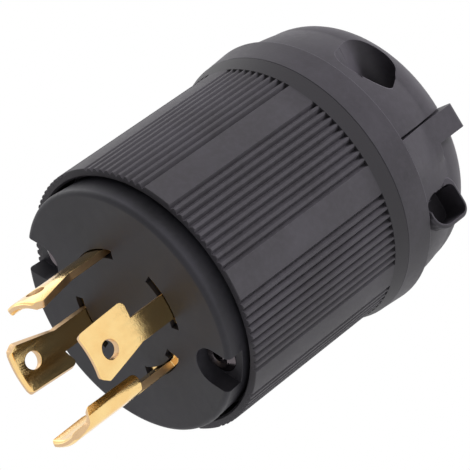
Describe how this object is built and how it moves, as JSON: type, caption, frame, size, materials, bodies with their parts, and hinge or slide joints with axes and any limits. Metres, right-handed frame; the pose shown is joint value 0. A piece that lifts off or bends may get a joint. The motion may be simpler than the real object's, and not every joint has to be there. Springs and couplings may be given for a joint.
{
  "type": "shore power cord plug",
  "caption": "Round twist-lock plug for a shore power cord, with curved hooked blades, a ribbed grip, and a domed rear housing whose loose half clamps the cord.",
  "frame": {"origin": "centre of the mating face, the flat front of the insulator", "axes": "+Y along the plug's axis from the blades' side to the cord's side, so the blades point to -Y; +Z towards the neutral blade, opposite the ground blade"},
  "size_m": [0.057, 0.0946, 0.057],
  "materials": {
    "front_plastic": "fine satin, moulded",
    "grip_plastic": "satin, moulded",
    "rear_plastic": "satin, moulded",
    "blade_brass": "polished, folded sheet",
    "terminal_brass": "machined",
    "insert_brass": "machined",
    "zinc_steel": "zinc plated",
    "green_steel": "green, the mark of a ground terminal"
  },
  "bodies": {
    "plug_body": {"front_insulator": "front_plastic", "terminal_block": "front_plastic", "block_screw": "zinc_steel", "grip_sleeve": "grip_plastic", "rear_housing": "rear_plastic", "clamp_base": "rear_plastic", "clamp_nuts": "zinc_steel", "thread_inserts": "insert_brass", "assembly_screws": "zinc_steel", "blade_neutral": "blade_brass", "blade_line_x": "blade_brass", "blade_line_y": "blade_brass", "blade_ground": "blade_brass"},
    "cord_clamp": {"cord_clamp": "rear_plastic"},
    "clamp_screw_right": {"clamp_screw_right": "zinc_steel"},
    "clamp_screw_left": {"clamp_screw_left": "zinc_steel"},
    "terminal_screw_neutral": {"terminal_screw_neutral": "zinc_steel"},
    "wire_clamp_neutral": {"wire_clamp_neutral": "terminal_brass"},
    "terminal_screw_line_x": {"terminal_screw_line_x": "terminal_brass"},
    "wire_clamp_line_x": {"wire_clamp_line_x": "terminal_brass"},
    "terminal_screw_ground": {"terminal_screw_ground": "green_steel"},
    "wire_clamp_ground": {"wire_clamp_ground": "terminal_brass"},
    "terminal_screw_line_y": {"terminal_screw_line_y": "terminal_brass"},
    "wire_clamp_line_y": {"wire_clamp_line_y": "terminal_brass"}
  },
  "joints": [
    {"name": "cord_clamp_slide", "type": "slide", "parent": "plug_body", "child": "cord_clamp", "axis": [0.061, 0, -0.9981], "range_m": [-0.004, 0.00025]},
    {"name": "clamp_screw_right_turn", "type": "hinge", "parent": "cord_clamp", "child": "clamp_screw_right", "pos_m": [0.02132, 0.0583, 0.00772], "axis": [0.061, 0, -0.9981], "range_deg": [-2470, 168]},
    {"name": "clamp_screw_left_turn", "type": "hinge", "parent": "cord_clamp", "child": "clamp_screw_left", "pos_m": [-0.0221, 0.0583, 0.00506], "axis": [0.061, 0, -0.9981], "range_deg": [-2470, 168]},
    {"name": "terminal_screw_neutral_turn", "type": "hinge", "parent": "plug_body", "child": "terminal_screw_neutral", "pos_m": [0, 0.0195, 0.0129], "axis": [0, 0, -1], "range_deg": [-54, 1854]},
    {"name": "wire_clamp_neutral_slide", "type": "slide", "parent": "plug_body", "child": "wire_clamp_neutral", "axis": [0, 0, 1], "range_m": [0, 0.0035]},
    {"name": "terminal_screw_line_x_turn", "type": "hinge", "parent": "plug_body", "child": "terminal_screw_line_x", "pos_m": [0.0129, 0.0195, 0], "axis": [-1, 0, 0], "range_deg": [-54, 1854]},
    {"name": "wire_clamp_line_x_slide", "type": "slide", "parent": "plug_body", "child": "wire_clamp_line_x", "axis": [1, 0, 0], "range_m": [0, 0.0035]},
    {"name": "terminal_screw_ground_turn", "type": "hinge", "parent": "plug_body", "child": "terminal_screw_ground", "pos_m": [0, 0.0195, -0.0129], "axis": [0, 0, 1], "range_deg": [-54, 1854]},
    {"name": "wire_clamp_ground_slide", "type": "slide", "parent": "plug_body", "child": "wire_clamp_ground", "axis": [0, 0, -1], "range_m": [0, 0.0035]},
    {"name": "terminal_screw_line_y_turn", "type": "hinge", "parent": "plug_body", "child": "terminal_screw_line_y", "pos_m": [-0.0129, 0.0195, 0], "axis": [1, 0, 0], "range_deg": [-54, 1854]},
    {"name": "wire_clamp_line_y_slide", "type": "slide", "parent": "plug_body", "child": "wire_clamp_line_y", "axis": [-1, 0, 0], "range_m": [0, 0.0035]}
  ],
  "couplings": [
    {"joint": "clamp_screw_right_turn", "follows": "cord_clamp_slide", "rad_per_m": 10472},
    {"joint": "clamp_screw_left_turn", "follows": "cord_clamp_slide", "rad_per_m": 10472},
    {"joint": "terminal_screw_neutral_turn", "follows": "wire_clamp_neutral_slide", "rad_per_m": 8976},
    {"joint": "terminal_screw_line_x_turn", "follows": "wire_clamp_line_x_slide", "rad_per_m": 8976},
    {"joint": "terminal_screw_ground_turn", "follows": "wire_clamp_ground_slide", "rad_per_m": 8976},
    {"joint": "terminal_screw_line_y_turn", "follows": "wire_clamp_line_y_slide", "rad_per_m": 8976}
  ]
}
